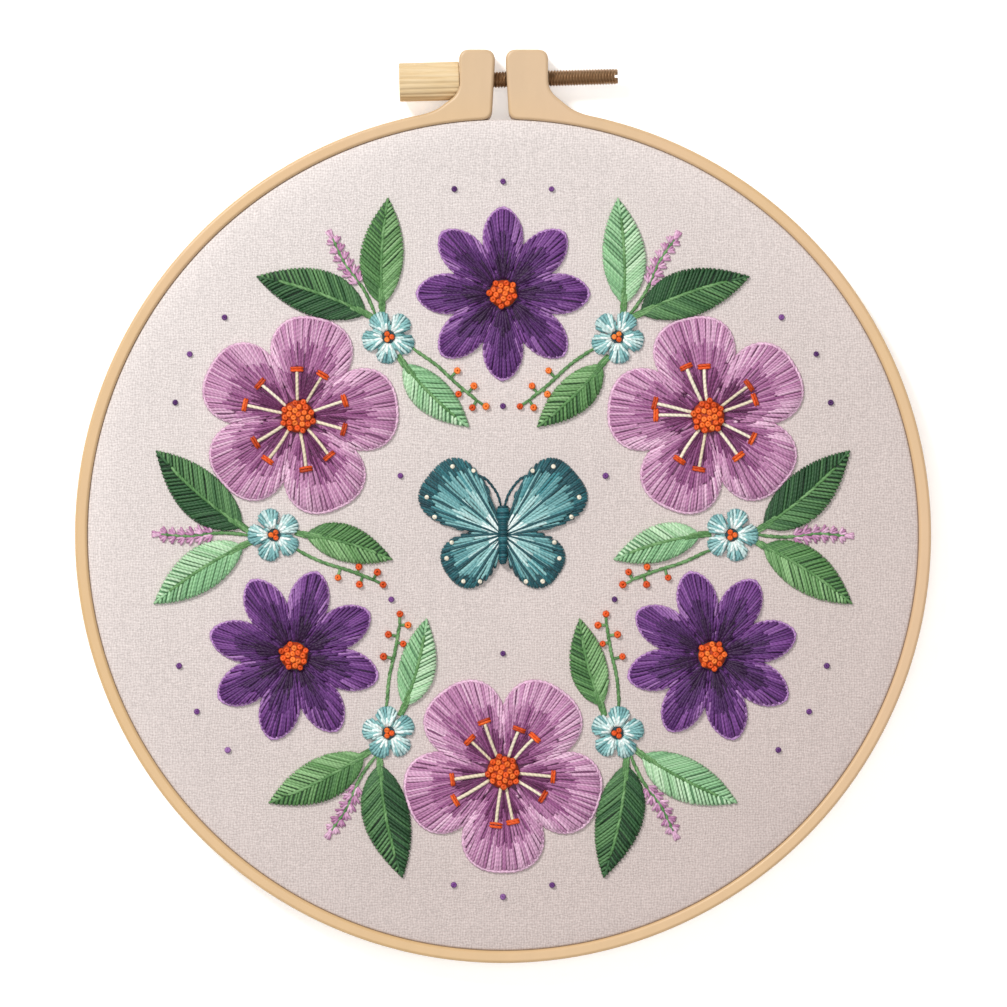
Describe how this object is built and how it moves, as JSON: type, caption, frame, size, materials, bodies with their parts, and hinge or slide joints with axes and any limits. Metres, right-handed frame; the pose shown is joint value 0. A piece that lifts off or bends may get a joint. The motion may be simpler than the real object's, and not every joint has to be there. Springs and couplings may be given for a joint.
{
  "type": "embroidered linen picture in its embroidery hoop",
  "caption": "Round linen embroidery of a floral wreath and butterfly, stretched in a two-ring plastic hoop that a knob screw clamps at the top.",
  "frame": {"origin": "middle of the footprint, on the surface that the flat back of the hoop rests on", "axes": "+Z out of the stitched face, +Y towards the lugs and screw, which are the picture's top"},
  "size_m": [0.206, 0.2198, 0.0126],
  "materials": {
    "hoop_plastic": "peach-beige faux-wood plastic, satin, soft moulded edges",
    "linen": "off-white plain-weave linen with fine slubs, stretched",
    "screw_metal": "bronze-brown plated thread",
    "knob_wood": "pale bare wood, fluted lengthwise",
    "lilac_thread": "stranded cotton, satin sheen",
    "violet_thread": "stranded cotton, satin sheen",
    "amber_thread": "stranded cotton, knotted",
    "aqua_thread": "stranded cotton, satin sheen",
    "teal_thread": "stranded cotton, satin sheen",
    "deep_green_thread": "stranded cotton, satin sheen",
    "mid_green_thread": "stranded cotton, satin sheen",
    "pale_green_thread": "stranded cotton, satin sheen"
  },
  "bodies": {
    "hoop": {"outer_hoop": "hoop_plastic", "inner_hoop": "hoop_plastic", "cloth": "linen", "lilac_1": "lilac_thread", "lilac_1_heart": "amber_thread", "violet_1": "violet_thread", "violet_1_heart": "amber_thread", "posy_a_1": "aqua_thread", "posy_b_1": "aqua_thread", "leaf_a_1": "deep_green_thread", "leaf_b_1": "pale_green_thread", "leaf_c_1": "mid_green_thread", "leaf_d_1": "mid_green_thread", "leaf_e_1": "deep_green_thread", "leaf_f_1": "pale_green_thread", "lilac_2": "lilac_thread", "lilac_2_heart": "amber_thread", "violet_2": "violet_thread", "violet_2_heart": "amber_thread", "posy_a_2": "aqua_thread", "posy_b_2": "aqua_thread", "leaf_a_2": "deep_green_thread", "leaf_b_2": "pale_green_thread", "leaf_c_2": "mid_green_thread", "leaf_d_2": "mid_green_thread", "leaf_e_2": "deep_green_thread", "leaf_f_2": "pale_green_thread", "lilac_3": "lilac_thread", "lilac_3_heart": "amber_thread", "violet_3": "violet_thread", "violet_3_heart": "amber_thread", "posy_a_3": "aqua_thread", "posy_b_3": "aqua_thread", "leaf_a_3": "deep_green_thread", "leaf_b_3": "pale_green_thread", "leaf_c_3": "mid_green_thread", "leaf_d_3": "mid_green_thread", "leaf_e_3": "deep_green_thread", "leaf_f_3": "pale_green_thread", "butterfly_wings": "aqua_thread", "butterfly_body": "teal_thread"},
    "clamp_screw": {"screw": "screw_metal", "knob": "knob_wood"}
  },
  "joints": [
    {"name": "screw_turn", "type": "hinge", "parent": "hoop", "child": "clamp_screw", "pos_m": [-0.0007, 0.1029, 0.005], "axis": [0.9996, 0.0279, 0], "continuous": true}
  ]
}
